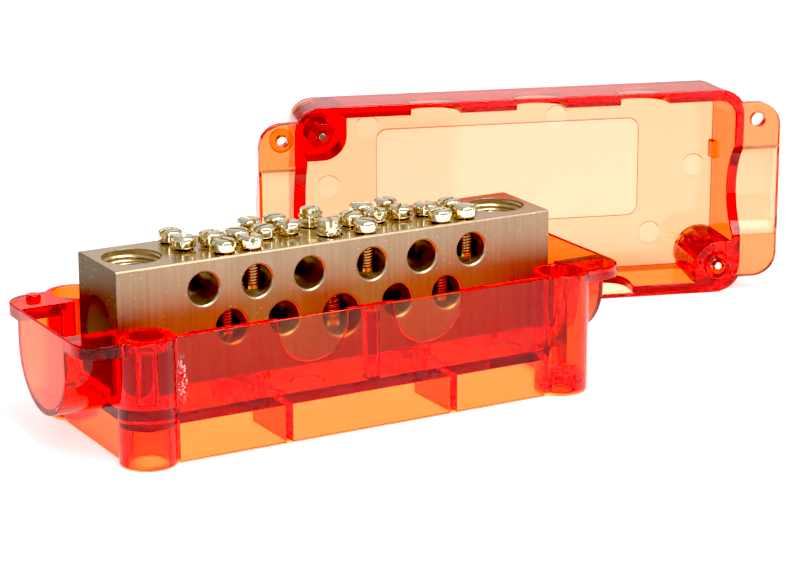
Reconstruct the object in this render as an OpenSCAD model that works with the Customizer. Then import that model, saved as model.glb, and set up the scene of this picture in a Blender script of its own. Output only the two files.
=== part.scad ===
// Bus bar: a brass link bar in a red tray, its cover taken off and stood behind it.
// Millimetres. Origin in the middle of the tray's underside, X along the bar, Y to the back, Z up.

/* [Brass bar] */
// Length of the bar
bar_len = 118; // [112:1:124]
// Depth of the bar, front to back
bar_dep = 22; // [21:0.5:24]
// Height of the bar
bar_h = 30; // [29:0.5:32]
// Chamfer along the long edges
bar_chamfer = 0.5; // [0.2:0.1:0.8]

/* [Wire holes] */
// Radius of a wire hole
wire_r = 3.9; // [3.4:0.1:4]
// Radius of the middle wire hole
mid_wire_r = 5; // [4.4:0.1:5.2]
// First wire hole, measured from the middle of the bar
first_hole_x = 8.5; // [8.2:0.1:9]
// Brass left between the last wire hole and the end tunnel
end_web = 1.6; // [1.4:0.1:2]
// Upper row of holes below the top of the bar
upper_drop = 7.2; // [6.5:0.1:8]
// Lower row of holes below the top of the bar
lower_drop = 17.3; // [16.5:0.1:18]
// Extra drop of the middle hole
mid_extra_drop = 1.5; // [0:0.1:2]
// Chamfer at the rim of a wire hole
rim_chamfer = 0.5; // [0.2:0.05:0.6]

/* [Terminal screws] */
// Radius of a screw head
head_r = 2.95; // [2.4:0.05:3.1]
// Least gap between neighbouring heads
head_space = 0.4; // [0.3:0.1:1]
// Height of a screw head
head_h = 2.9; // [2.2:0.1:3]
// Rounding of the upper edge of a head
head_round = 1; // [0.4:0.1:1.2]
// Rounding of the lower edge of a head
head_foot = 0.5; // [0.2:0.1:0.6]
// Width of the slot
slot_w = 0.9; // [0.7:0.1:1.2]
// Depth of the slot
slot_d = 1.3; // [1:0.1:1.6]
// Radius of the shank
shank_r = 2.2; // [1.9:0.05:2.3]
// Gap between a shank and its tapped hole
thread_gap = 0.12; // [0.1:0.01:0.2]
// Distance between the rows of screws, front to back
row_pitch = 7.6; // [7:0.1:7.8]
// Gap from a screw's tip to the bottom of its wire hole
tip_gap = 1.6; // [1.5:0.1:2]

/* [Centre screws] */
// Radius of a headless centre screw
centre_r = 3.05; // [2.6:0.05:3.2]
// Distance of a centre screw from the middle of the bar
centre_row = 5; // [4:0.1:6]
// How far the front centre screw stands out of the bar
centre_proud_front = 3.8; // [2:0.1:6]
// How far the back centre screw stands out of the bar
centre_proud_back = 4.5; // [2:0.1:6]
// Width of a centre screw's slot
centre_slot_w = 1; // [0.8:0.1:1.4]
// Depth of a centre screw's slot
centre_slot_d = 1.6; // [1:0.1:2]
// Turn of the front centre screw's slot
centre_turn_front = 70; // [0:5:180]
// Turn of the back centre screw's slot
centre_turn_back = 25; // [0:5:180]
// Gap from a centre screw's tip to the bottom of the middle hole
centre_tip_gap = 1.5; // [1.3:0.1:3]

/* [Cable tunnels] */
// Radius of an end tunnel
tunnel_r = 7.8; // [7:0.1:8]
// Depth of an end tunnel from the end of the bar
tunnel_depth = 17; // [16.5:0.5:17.5]
// Axis of a tunnel above the underside of the bar
tunnel_z = 13.6; // [12.5:0.1:15]
// Radius of the tapped hole over a tunnel
grub_hole_r = 6.9; // [6.8:0.1:7.4]
// Distance of that hole from the end of the bar
grub_inset = 9; // [8.8:0.1:9.4]
// Length of the socket screw in it
grub_len = 8; // [6:0.5:10]
// Top of the socket screw below the top of the bar
grub_sink = 2.7; // [1:0.1:4]
// Gap between the socket screw and its hole
grub_gap = 0.15; // [0.1:0.01:0.2]
// Width across the flats of the socket
socket_af = 8; // [6:0.5:9]
// Depth of the socket
socket_d = 5; // [3:0.5:6]
// Turn of the socket
socket_turn = 12; // [0:1:60]

/* [Tray] */
// Gap between the end of the bar and the tray's end wall
bar_end_gap = 0.4; // [0.2:0.1:1]
// Depth of the tray, front to back
tray_dep = 50.8; // [50:0.2:52]
// Height of the tray
tray_h = 30.7; // [30:0.1:32]
// Thickness of the long walls
side_wall = 2; // [1.8:0.1:2.4]
// Thickness of the end walls
end_wall = 2.4; // [2:0.1:2.8]
// Top of the floor above the underside of the tray
floor_top = 12; // [11.5:0.1:13]
// Thickness of the floor
floor_t = 2.8; // [2.6:0.1:3.4]
// Height of the two pads under the bar
pad_h = 1.6; // [1.2:0.1:2]
// Radius of a pad
pad_r = 6.5; // [6:0.1:7]
// Thickness of the ribs under the floor
rib_t = 2; // [1.6:0.1:2.4]
// Sideways shift of the ribs from the fixing screws
rib_shift = 1.2; // [0:0.1:2]
// Sideways shift of the upright in a long wall
pilaster_shift = 1.5; // [0:0.1:2]
// Width of the upright in the middle of a long wall
pilaster_w = 3.4; // [3:0.1:4]
// Depth of that upright
pilaster_d = 2.5; // [2:0.1:3]
// Top of that upright below the rim
pilaster_drop = 2; // [1:0.1:3]
// Radius of the round marks in the floor
mark_r = 4; // [3:0.1:4.5]
// Depth of those marks
mark_d = 0.2; // [0.1:0.05:0.4]
// Distance of those marks from the middle, front to back
mark_y = 17; // [16:0.1:18]
// Distance of the inner marks from the middle, along the bar
mark_near = 13; // [12:0.1:14]
// Distance of the outer marks from the middle, along the bar
mark_far = 42; // [41:0.1:43]

/* [Corner posts] */
// Distance of a corner post from the middle, along the bar
post_x = 56.3; // [56:0.1:56.6]
// Distance of a corner post from the middle, front to back
post_y = 21.2; // [21:0.1:21.4]
// Radius of a corner post
post_r = 6.95; // [6.8:0.05:7.2]
// Fillet between a corner post and the long wall
post_fillet = 2.2; // [1:0.1:3]
// Radius of the well over a mounting hole
well_r = 5.25; // [5:0.05:5.4]
// Thickness left under that well
well_web = 5; // [4:0.1:6]
// Radius of a mounting hole
mount_r = 2.5; // [2.2:0.1:2.8]
// Radius of the well for the cover's spigot
seat_r = 4.15; // [4:0.05:4.4]
// Depth of that well
seat_d = 3; // [2:0.1:5]
// Radius of the pilot hole for a cover screw
pilot_r = 1.7; // [1.6:0.05:1.8]
// Depth of the pilot hole below its well
pilot_d = 13; // [10:0.5:14]
// Radius of the hollow under such a post
hollow_r = 4.7; // [4:0.1:5]

/* [Cable entries] */
// Reach of an ear from the middle of the tray
ear_reach = 73.6; // [73:0.1:75]
// Half width of an ear
ear_y = 25; // [24.6:0.1:25.4]
// Thickness of the tray's ears
ear_t = 3.2; // [2.8:0.1:3.6]
// Corner radius of an ear
ear_corner = 6.8; // [6:0.1:7.2]
// Inner radius of the U-shaped entry
entry_r = 12.8; // [12.4:0.1:13]
// Height of the entry's lowest point over the underside of the floor
entry_sill = 0.9; // [0.8:0.1:1.6]
// Wall of the entry
entry_wall = 1.6; // [1.4:0.1:2]
// Thin skin that closes the entry
skin_t = 0.8; // [0.6:0.1:1]
// Distance of the locating peg from the end of the ear
peg_inset = 6.5; // [6.2:0.1:7]
// Distance of the locating peg from the middle, front to back
peg_y = 20.1; // [19.8:0.1:20.4]
// Radius of the locating peg
peg_r = 1.8; // [1.6:0.05:1.85]
// Height of the locating peg
peg_h = 1.2; // [1:0.1:1.6]
// Radius of the shallow dimple in the other ear
dimple_r = 1.5; // [1.2:0.1:1.8]
// Depth of that dimple
dimple_d = 0.4; // [0.2:0.1:0.6]

/* [Knock-outs] */
// Distance of the tray's knock-outs from the middle
tray_ko_x = 15.6; // [15:0.1:16.5]
// Sideways shift of the tray's knock-outs
tray_ko_shift = 0.8; // [0:0.1:1.5]
// Width of a tray knock-out
tray_ko_w = 18.5; // [17:0.1:19]
// Lower edge of a tray knock-out below the rim
tray_ko_d = 11.4; // [11:0.1:12]
// Wall left at a tray knock-out
tray_ko_t = 0.9; // [0.7:0.1:1.2]
// Distance between the cover's knock-outs
cover_ko_step = 29.5; // [28:0.1:30]
// Sideways shift of the cover's three knock-outs
cover_ko_shift = 4.6; // [4:0.1:5]
// Width of a cover knock-out
cover_ko_w = 13.6; // [12:0.1:14]
// Depth of a cover knock-out from the rim
cover_ko_d = 11.8; // [11:0.1:12.5]
// Wall left at a cover knock-out
cover_ko_t = 0.7; // [0.6:0.1:1]

/* [Cover] */
// Height of the cover from rim to panel
cover_h = 19.3; // [18:0.1:20]
// Thickness of the cover's panel
panel_t = 1.6; // [1.4:0.1:2.4]
// How far the cover's sides lean in from rim to panel
cover_lean = 1; // [0.6:0.1:1.2]
// Corner radius of the rim
cover_corner = 7.9; // [7.7:0.1:8.2]
// Distance of the rim's end from the middle
cover_x = 63.6; // [63.4:0.1:63.8]
// Thickness of the cover's long walls
cover_side = 3.2; // [2.8:0.1:3.4]
// Thickness of the cover's end walls
cover_end = 3.2; // [2.6:0.1:3.4]
// Inner corner radius of the cover
cover_inner_r = 4.5; // [4:0.1:5]
// Thickness of the cover's ears
cover_ear_t = 3; // [2.6:0.1:3.4]
// Half width of the arch over a cable entry
arch_half = 12.8; // [12.4:0.1:13]
// Height of the arch above the rim
arch_rise = 5.4; // [5:0.1:6]
// Radius of a screw boss
boss_r = 6.8; // [6.4:0.1:7]
// How much wider a boss is at the panel
boss_lean = 0.7; // [0.4:0.1:1]
// Radius of the spigot under a boss
spigot_r = 3.75; // [3.6:0.05:3.9]
// Length of the spigot
spigot_h = 1; // [0.8:0.1:1.4]
// Radius of the screw hole in a boss
boss_hole_r = 2.2; // [2.15:0.05:2.4]
// Radius of the counterbore in a boss
bore_r = 4.2; // [4:0.05:4.4]
// Depth of the counterbore
bore_d = 10; // [9:0.1:10.5]
// Radius of the peg's hole in an ear
peg_hole_r = 1.95; // [1.9:0.05:2.1]
// Outer radius of the ring on the other ear
ring_r = 3.25; // [3:0.05:3.5]
// Radius of the hole in that ring
ring_hole_r = 1.4; // [1.3:0.05:1.6]
// Height of that ring above the ear
ring_h = 1.2; // [0.8:0.1:1.6]
// Length of the small rib on the left end wall
nib_len = 5; // [4:0.1:6]
// Height of that rib
nib_h = 3.5; // [2:0.1:4]
// How far that rib stands out at the panel
nib_reach = 1; // [0.6:0.1:1.4]
// Distance of that rib from the middle, front to back
nib_y = 6.2; // [5:0.1:7]
// Radius of the round marks on the panel
panel_mark_r = 3.15; // [2.8:0.05:3.4]
// Half length of the bare label field
field_x = 37.75; // [36:0.25:38]
// Half width of the bare label field
field_y = 14; // [13:0.1:14.5]
// Middle of the label field, front to back
field_at_y = 4.1; // [3.5:0.1:4.5]
// Depth of the bare label field in the outer face
field_d = 0.35; // [0.2:0.05:0.5]
// Corner radius of the label field
field_round = 3; // [2:0.1:4]
// Turn of the stood cover
cover_turn = -17.74; // [-19:0.01:-16]
// Middle of the stood cover's rim, along the bar
cover_at_x = 88.56; // [86:0.01:92]
// Middle of the stood cover's rim, front to back
cover_at_y = 47.63; // [46:0.01:50]

/* [Cover and fixing screws] */
// Radius of a cover screw's shank
cover_shank_r = 1.95; // [1.8:0.05:2]
// Radius of a cover screw's head
cover_head_r = 3.8; // [3.4:0.1:3.9]
// Height of a cover screw's head
cover_head_h = 2.8; // [2.2:0.1:3]
// How far a cover screw is backed out
cover_backed = 6.9; // [6:0.1:7]
// Width of a cover screw's slot
cover_slot_w = 1; // [0.8:0.1:1.2]
// Depth of a cover screw's slot
cover_slot_d = 1.3; // [1:0.1:1.6]
// Turn of a cover screw's slot
cover_slot_turn = 40; // [0:5:180]
// Distance of a fixing screw from the middle
fix_x = 22.5; // [22.3:0.1:22.7]
// Radius of a fixing screw's shank
fix_r = 2.45; // [2.3:0.05:2.5]
// Length of a fixing screw under its head
fix_len = 12; // [11.5:0.5:13]
// Radius of a fixing screw's head
fix_head_r = 4.25; // [4:0.05:4.5]
// Height of a fixing screw's head
fix_head_h = 3.2; // [2.6:0.1:3.4]
// Width of a fixing screw's slot
fix_slot_w = 1.2; // [1:0.1:1.4]
// Depth of a fixing screw's slot
fix_slot_d = 1.5; // [1:0.1:1.8]
// Radius of the floor's hole for it
fix_hole_r = 2.75; // [2.6:0.05:3]
// Depth of its tapped hole in the bar
fix_bore_d = 9; // [8.5:0.1:9.5]
// Gap between a fixing screw and its tapped hole
fix_gap = 0.1; // [0.1:0.01:0.2]
// Inner radius of the ring round its head
collar_r = 5.4; // [5:0.1:6]
// Wall of that ring
collar_wall = 1.6; // [1.4:0.1:2]
// Height of that ring under the floor
collar_h = 6.2; // [5:0.1:6.5]

/* [Hidden] */
// Facets of round shapes
$fn = 64;
// Overlap of pieces that are joined or cut
eps = 0.5;
// Derived heights of the tray and the bar
floor_low = floor_top - floor_t;
bar_low = floor_top + pad_h;
bar_top = bar_low + bar_h;
upper_z = bar_top - upper_drop;
lower_z = bar_top - lower_drop;
mid_z = lower_z - mid_extra_drop;
tunnel_axis = bar_low + tunnel_z;
// Derived half sizes of the tray
cav_x = bar_len / 2 + bar_end_gap;
tray_x = cav_x + end_wall;
tray_y = tray_dep / 2;
cav_y = tray_y - side_wall;
entry_axis = floor_low + entry_r + entry_sill;
peg_x = ear_reach - peg_inset;
// Step of the wire holes and the size of head that fits it
hole_step = (bar_len / 2 - tunnel_depth - end_web - wire_r - first_hole_x) / 4;
head_fit = min(head_r, (hole_step - head_space) / 2);
// Where a post's fillet meets the wall and the post
fillet_y = tray_y - post_y + post_fillet;
fillet_x = sqrt(pow(post_r + post_fillet, 2) - pow(fillet_y, 2));
fillet_part = post_r / (post_r + post_fillet);
// Derived sizes of the cover, which runs round the corner posts
cover_y = post_y + cover_corner;
cover_mid_z = cover_y;
cover_in_x = cover_x - cover_end;
cover_in_y = cover_y - cover_side;
arch_r = (arch_half * arch_half + arch_rise * arch_rise) / (2 * arch_rise);
arch_axis = arch_rise - arch_r;
cover_cav = cover_h - panel_t;
cut_lean = cover_lean * eps / cover_cav;
cover_ko_y = cover_y - cover_ko_t - cover_lean * cover_ko_d / cover_h;
// Places of the round marks on the panel
panel_marks = [[40.4, 19.2], [-13.7, 19.6], [51.5, 2.7], [-54, 3.8], [-41.5, -15.4]];
// The ten wire holes with terminal screws, counted from the middle
holes = [-5, -4, -3, -2, -1, 1, 2, 3, 4, 5];
// Holes whose two screws stand in the middle and back rows
back_pairs = [-5, -2, -1, 2, 3];
// How far each terminal screw's head is backed off the bar
head_raise = [0.5, 0.3, 0.4, 0.6, 0.5, 0.3, 0.3, 0.4, 0.6, 0.3,
    0.3, 0.5, 0.4, 0.3, 0.5, 0.6, 0.3, 0.3, 0.5, 0.4];
// How far each slot is turned
slot_turn = [60, 15, 110, 35, 75, 140, 20, 95, 50, 5,
    125, 30, 80, 160, 45, 100, 10, 70, 150, 25];
function wire_x(i) = i == 0 ? 0 : sign(i) * (first_hole_x + (abs(i) - 1) * hole_step);
function wire_z(i) = abs(i) % 2 == 1 ? upper_z : lower_z;
function at_back(i) = len([for (b = back_pairs) if (b == i) b]) > 0;
function row_y(i, k) = (at_back(i) ? k : k - 1) * row_pitch;
function two_digits(n) = str(n < 10 ? "0" : "", n);
function screw_name(n) = str("terminal_screw_", two_digits(n + 1));
terminal_names = [for (n = [0 : 19]) screw_name(n)];
// Node to build, or all of them

// A flat ear at the end of the tray or the cover, on the side given by the sign
module ear(side, from_x, low, thick) {
    run = ear_reach - from_x;
    mirror([side < 0 ? 1 : 0, 0, 0]) {
        translate([from_x, -ear_y, low])
            cube([run - ear_corner, 2 * ear_y, thick]);
        translate([from_x, ear_corner - ear_y, low])
            cube([run, 2 * (ear_y - ear_corner), thick]);
        for (t = [-1, 1])
            translate([ear_reach - ear_corner, t * (ear_y - ear_corner), low])
                cylinder(r = ear_corner, h = thick);
    }
}

// A plate or block with round upright corners
module round_block(half_x, half_y, corner, high) {
    translate([-half_x, corner - half_y, 0])
        cube([2 * half_x, 2 * (half_y - corner), high]);
    translate([corner - half_x, -half_y, 0])
        cube([2 * (half_x - corner), 2 * half_y, high]);
    for (sx = [-1, 1], sy = [-1, 1])
        translate([sx * (half_x - corner), sy * (half_y - corner), 0])
            cylinder(r = corner, h = high);
}

// A block with round corners whose sides lean in by the given amount towards its top
module leaning_block(half_x, half_y, corner, lean, low, high) {
    hx = half_x - corner;
    hy = half_y - corner;
    translate([0, 0, low]) {
        rotate([90, 0, 0])
            linear_extrude(height = 2 * hy, center = true)
                polygon([[-half_x, 0], [half_x, 0], [half_x - lean, high], [lean - half_x, high]]);
        rotate([90, 0, 90])
            linear_extrude(height = 2 * hx, center = true)
                polygon([[-half_y, 0], [half_y, 0], [half_y - lean, high], [lean - half_y, high]]);
        for (sx = [-1, 1], sy = [-1, 1])
            translate([sx * hx, sy * hy, 0])
                cylinder(r1 = corner, r2 = corner - lean, h = high);
    }
}

// A U-shaped bar along X, open upward to the given height
module u_bar(side, from_x, to_x, radius, axis_z, high) {
    mirror([side < 0 ? 1 : 0, 0, 0]) {
        translate([from_x, 0, axis_z])
            rotate([0, 90, 0])
                cylinder(r = radius, h = to_x - from_x);
        translate([from_x, -radius, axis_z])
            cube([to_x - from_x, 2 * radius, high - axis_z]);
    }
}

// The tray's walls, floor, ears and cable entries before the posts are added
module tray_shell() {
    difference() {
        union() {
            translate([-tray_x, -tray_y, 0])
                cube([2 * tray_x, 2 * tray_y, tray_h]);
            for (s = [-1, 1]) {
                ear(s, cav_x + eps, tray_h - ear_t, ear_t);
                entry_outside(s);
            }
        }
        translate([-cav_x, -cav_y, floor_top])
            cube([2 * cav_x, 2 * cav_y, tray_h]);
        translate([-cav_x, -cav_y, -eps])
            cube([2 * cav_x, 2 * cav_y, floor_low + eps]);
        for (s = [-1, 1])
            u_bar(s, cav_x, ear_reach - skin_t, entry_r, entry_axis, tray_h + eps);
    }
}

// The outside of a cable entry, cut level with the rim
module entry_outside(side) {
    intersection() {
        u_bar(side, cav_x + eps, ear_reach, entry_r + entry_wall, entry_axis, tray_h);
        translate([-ear_reach, -tray_y, 0])
            cube([2 * ear_reach, tray_dep, tray_h]);
    }
}

// Fillet on the inner side of the right back post, made by cutting a round out of a block
module post_web() {
    difference() {
        translate([post_x - fillet_x, tray_y - eps, 0])
            cube([fillet_x - post_r / 2, post_y + fillet_y * fillet_part - tray_y + eps, tray_h]);
        translate([post_x - fillet_x, post_y + fillet_y, -eps])
            cylinder(r = post_fillet + eps / 16, h = tray_h + 2 * eps);
    }
}

// The rounded recess of a knock-out, its flat face towards the middle of the part
module knock_out(width, deep, from_y, to_y) {
    translate([0, from_y, -deep + width / 2])
        rotate([-90, 0, 0])
            cylinder(r = width / 2, h = to_y - from_y);
    translate([-width / 2, from_y, -deep + width / 2])
        cube([width, to_y - from_y, deep - width / 2 + eps]);
}

// Red tray with its skirt, posts, pads and cable entries
module base() {
    color("#C8201AB0")
    difference() {
        union() {
            tray_shell();
            for (sx = [-1, 1], sy = [-1, 1]) {
                translate([sx * post_x, sy * post_y, 0])
                    cylinder(r = post_r, h = tray_h);
                mirror([sx < 0 ? 1 : 0, 0, 0])
                    mirror([0, sy < 0 ? 1 : 0, 0])
                        post_web();
            }
            for (s = [-1, 1]) {
                translate([s * fix_x + rib_shift - rib_t / 2, -cav_y - eps, 0])
                    cube([rib_t, 2 * (cav_y + eps), floor_low + eps]);
                translate([s * fix_x, 0, floor_low - collar_h])
                    cylinder(r = collar_r + collar_wall, h = collar_h + eps);
                translate([s * fix_x, 0, floor_top - eps])
                    cylinder(r = pad_r, h = pad_h + eps);
                rotate([0, 0, s > 0 ? 180 : 0])
                    translate([pilaster_shift - pilaster_w / 2, -cav_y - eps, floor_top - eps])
                        cube([pilaster_w, pilaster_d + eps, tray_h - pilaster_drop - floor_top + eps]);
            }
            translate([-peg_x, peg_y, tray_h - eps])
                cylinder(r = peg_r, h = peg_h + eps);
        }
        for (s = [-1, 1]) {
            translate([s * fix_x, 0, -eps])
                cylinder(r = collar_r, h = floor_low + eps);
            translate([s * fix_x, 0, floor_low - eps])
                cylinder(r = fix_hole_r, h = floor_t + pad_h + 2 * eps);
            translate([s * post_x, -s * post_y, well_web])
                cylinder(r = well_r, h = tray_h);
            translate([s * post_x, -s * post_y, -eps])
                cylinder(r = mount_r, h = well_web + 2 * eps);
            translate([s * post_x, s * post_y, tray_h - seat_d])
                cylinder(r = seat_r, h = seat_d + eps);
            translate([s * post_x, s * post_y, tray_h - seat_d - pilot_d])
                cylinder(r = pilot_r, h = pilot_d + eps);
            translate([s * post_x, s * post_y, -eps])
                cylinder(r = hollow_r, h = floor_low + eps);
            for (t = [-1, 1])
                rotate([0, 0, s > 0 ? 0 : 180])
                    translate([t * tray_ko_x - tray_ko_shift, 0, tray_h])
                        knock_out(tray_ko_w, tray_ko_d, cav_y - eps, tray_y - tray_ko_t);
            translate([s * mark_near, s * mark_y, floor_top - mark_d])
                cylinder(r = mark_r, h = eps);
            translate([-s * mark_far, s * mark_y, floor_top - mark_d])
                cylinder(r = mark_r, h = eps);
        }
        translate([peg_x, -peg_y, tray_h - dimple_d])
            cylinder(r = dimple_r, h = dimple_d + eps);
    }
}

// Cover as it sits on the tray, rim at the height of zero and panel on top
module cover_fitted() {
    difference() {
        union() {
            difference() {
                union() {
                    leaning_block(cover_x, cover_y, cover_corner, cover_lean, 0, cover_h);
                    for (s = [-1, 1]) {
                        ear(s, cover_in_x + eps, 0, cover_ear_t);
                        arch_outside(s);
                    }
                }
                leaning_block(cover_in_x + cut_lean, cover_in_y + cut_lean, cover_inner_r + cut_lean,
                    cover_lean + cut_lean, -eps, cover_cav + eps);
                for (s = [-1, 1])
                    mirror([s < 0 ? 1 : 0, 0, 0])
                        translate([cover_in_x - eps, 0, arch_axis])
                            rotate([0, 90, 0])
                                cylinder(r = arch_r, h = ear_reach - skin_t - cover_in_x + eps, $fn = 96);
            }
            intersection() {
                for (s = [0, 180])
                    rotate([0, 0, s])
                        boss();
                leaning_block(cover_x - eps, cover_y - eps, cover_corner - eps, cover_lean, 0, cover_h);
            }
            for (s = [-1, 1])
                translate([s * post_x, s * post_y, -spigot_h])
                    cylinder(r = spigot_r, h = spigot_h + eps);
            translate([peg_x, peg_y, cover_ear_t - eps])
                cylinder(r = ring_r, h = ring_h + eps);
            translate([-cover_in_x, nib_y, cover_cav - nib_h])
                cube([cover_lean + nib_reach, nib_len, nib_h + eps]);
        }
        for (s = [-1, 1]) {
            translate([s * post_x, s * post_y, -spigot_h - eps])
                cylinder(r = boss_hole_r, h = cover_h);
            translate([s * post_x, s * post_y, cover_h - bore_d])
                cylinder(r = bore_r, h = bore_d + eps);
            for (k = [-1, 0, 1])
                rotate([0, 0, s > 0 ? 0 : 180])
                    translate([k * cover_ko_step - cover_ko_shift, 0, 0])
                        mirror([0, 0, 1])
                            knock_out(cover_ko_w, cover_ko_d, cover_in_y - cover_lean - eps, cover_ko_y);
        }
        translate([-peg_x, peg_y, -eps])
            cylinder(r = peg_hole_r, h = cover_ear_t + 2 * eps);
        translate([peg_x, peg_y, -eps])
            cylinder(r = ring_hole_r, h = cover_ear_t + ring_h + 2 * eps);
        translate([0, field_at_y, cover_h - field_d])
            round_block(field_x, field_y, field_round, field_d + eps);
        for (p = panel_marks)
            translate([p[0], p[1], cover_h - panel_t - eps])
                cylinder(r = panel_mark_r, h = eps + mark_d);
    }
}

// The outside of the cover's low arch over a cable entry
module arch_outside(side) {
    mirror([side < 0 ? 1 : 0, 0, 0])
    intersection() {
        translate([cover_in_x + eps, 0, arch_axis])
            rotate([0, 90, 0])
                cylinder(r = arch_r + entry_wall, h = ear_reach - cover_in_x - eps, $fn = 96);
        translate([cover_in_x, -2 * arch_half, 0])
            cube([ear_reach, 4 * arch_half, cover_h - 2 * panel_t]);
    }
}

// One screw boss in the back right corner, filled out square to the walls
module boss() {
    translate([post_x, post_y, 0])
        cylinder(r1 = boss_r, r2 = boss_r + boss_lean, h = cover_h - eps);
    translate([post_x, post_y - boss_r, 0])
        cube([boss_r, boss_r, cover_h - eps]);
    translate([post_x - boss_r, post_y, 0])
        cube([boss_r, boss_r + eps, cover_h - eps]);
}

// Puts a shape made as fitted where the cover now stands
module stand() {
    translate([cover_at_x, cover_at_y, cover_mid_z])
        rotate([0, 0, cover_turn])
            rotate([-90, 0, 0])
                rotate([0, 0, 180])
                    children();
}

// Red cover, stood on its long side with its open side to the front
module cover() {
    color("#C8201AB0")
    stand()
        cover_fitted();
}

// A wire hole through the bar with a small chamfer at both mouths
module wire_hole(x, z, radius) {
    translate([x, 0, z])
    rotate([90, 0, 0]) {
        cylinder(r = radius, h = bar_dep + 2 * eps, center = true);
        for (s = [0, 180])
            rotate([s, 0, 0])
                translate([0, 0, bar_dep / 2 - rim_chamfer])
                    cylinder(r1 = radius, r2 = radius + 2 * rim_chamfer, h = 2 * rim_chamfer);
    }
}

// Milled brass bar with its wire holes, end tunnels and tapped holes
module brass_bar() {
    dy = bar_dep / 2;
    c = bar_chamfer;
    color("#B5925A")
    difference() {
        rotate([90, 0, 90])
            linear_extrude(height = bar_len, center = true)
                polygon([[-dy + c, bar_low], [dy - c, bar_low], [dy, bar_low + c], [dy, bar_top - c],
                    [dy - c, bar_top], [-dy + c, bar_top], [-dy, bar_top - c], [-dy, bar_low + c]]);
        for (i = holes)
            wire_hole(wire_x(i), wire_z(i), wire_r);
        wire_hole(0, mid_z, mid_wire_r);
        for (i = holes, k = [0, 1])
            translate([wire_x(i), row_y(i, k), wire_z(i)])
                cylinder(r = shank_r + thread_gap, h = bar_top - wire_z(i) + eps);
        for (s = [-1, 1]) {
            translate([0, s * centre_row, mid_z])
                cylinder(r = centre_r + thread_gap, h = bar_top - mid_z + eps);
            translate([s * (bar_len / 2 - tunnel_depth), 0, tunnel_axis])
                rotate([0, s * 90, 0])
                    cylinder(r = tunnel_r, h = tunnel_depth + eps);
            translate([s * (bar_len / 2 - grub_inset), 0, tunnel_axis])
                cylinder(r = grub_hole_r, h = bar_top - tunnel_axis + eps);
            translate([s * fix_x, 0, bar_low - eps])
                cylinder(r = fix_r + fix_gap, h = fix_bore_d + eps);
        }
    }
}

// Round head profile: straight side, rounded upper and lower edges
module head_outline(radius, high, top_r, foot_r) {
    square([radius - top_r, high]);
    square([radius - foot_r, high - top_r]);
    translate([0, foot_r])
        square([radius, high - top_r - foot_r]);
    translate([radius - top_r, high - top_r])
        circle(r = top_r);
    translate([radius - foot_r, foot_r])
        circle(r = foot_r);
}

// Brass terminal screw number n, counted from the left, front before back
module terminal_screw(n) {
    i = holes[floor(n / 2)];
    k = n % 2;
    seat = bar_top + head_raise[n];
    tip = wire_z(i) - wire_r + tip_gap;
    color("#D9B978")
    translate([wire_x(i), row_y(i, k), 0])
    difference() {
        union() {
            translate([0, 0, seat])
                rotate_extrude()
                    head_outline(head_fit, head_h, head_round, head_foot);
            translate([0, 0, tip])
                cylinder(r = shank_r, h = seat - tip + eps);
        }
        translate([0, 0, seat + head_h - slot_d])
            rotate([0, 0, slot_turn[n]])
                translate([-head_r - eps, -slot_w / 2, 0])
                    cube([2 * (head_r + eps), slot_w, slot_d + eps]);
    }
}

// Headless slotted screw over the middle wire hole
module centre_screw(side, proud, turn) {
    tip = mid_z - mid_wire_r + centre_tip_gap;
    color("#D9B978")
    translate([0, side * centre_row, 0])
    difference() {
        translate([0, 0, tip])
            cylinder(r = centre_r, h = bar_top + proud - tip);
        translate([0, 0, bar_top + proud - centre_slot_d])
            rotate([0, 0, turn])
                translate([-centre_r - eps, -centre_slot_w / 2, 0])
                    cube([2 * (centre_r + eps), centre_slot_w, centre_slot_d + eps]);
    }
}

// Large socket screw over an end tunnel
module grub_screw(side) {
    top = bar_top - grub_sink;
    color("#D9B978")
    translate([side * (bar_len / 2 - grub_inset), 0, 0])
    difference() {
        translate([0, 0, top - grub_len])
            cylinder(r = grub_hole_r - grub_gap, h = grub_len);
        translate([0, 0, top - socket_d])
            rotate([0, 0, side * socket_turn])
                cylinder(r = socket_af / sqrt(3), h = socket_d + eps, $fn = 6);
    }
}

// Steel cover screw, backed out so that its tip is level with the spigot
module cover_screw(side) {
    seat = cover_h - bore_d + cover_backed;
    color("#9A9A98")
    stand()
        translate([side * post_x, side * post_y, 0])
            difference() {
                union() {
                    translate([0, 0, seat])
                        rotate_extrude()
                            head_outline(cover_head_r, cover_head_h, 0.6, 0.3);
                    translate([0, 0, -spigot_h])
                        cylinder(r = cover_shank_r, h = seat + spigot_h + eps);
                }
                translate([0, 0, seat + cover_head_h - cover_slot_d])
                    rotate([0, 0, cover_slot_turn])
                        translate([-cover_head_r - eps, -cover_slot_w / 2, 0])
                            cube([2 * (cover_head_r + eps), cover_slot_w, cover_slot_d + eps]);
            }
}

// Steel fixing screw that holds the bar down on a pad, its head under the floor
module fixing_screw(side) {
    color("#9A9A98")
    translate([side * fix_x, 0, floor_low])
    difference() {
        union() {
            mirror([0, 0, 1])
                rotate_extrude()
                    head_outline(fix_head_r, fix_head_h, 0.8, 0.3);
            translate([0, 0, -eps])
                cylinder(r = fix_r, h = fix_len + eps);
        }
        translate([-fix_head_r - eps, -fix_slot_w / 2, -fix_head_h - eps])
            cube([2 * (fix_head_r + eps), fix_slot_w, fix_slot_d + eps]);
    }
}

base();
cover();
brass_bar();
for (n = [0 : 19])
    terminal_screw(n);
centre_screw(-1, centre_proud_front, centre_turn_front);  // centre_screw_front
centre_screw(1, centre_proud_back, centre_turn_back);  // centre_screw_back
grub_screw(-1);  // grub_screw_left
grub_screw(1);  // grub_screw_right
cover_screw(1);  // cover_screw_left
cover_screw(-1);  // cover_screw_right
fixing_screw(-1);  // fixing_screw_left
fixing_screw(1);  // fixing_screw_right
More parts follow.
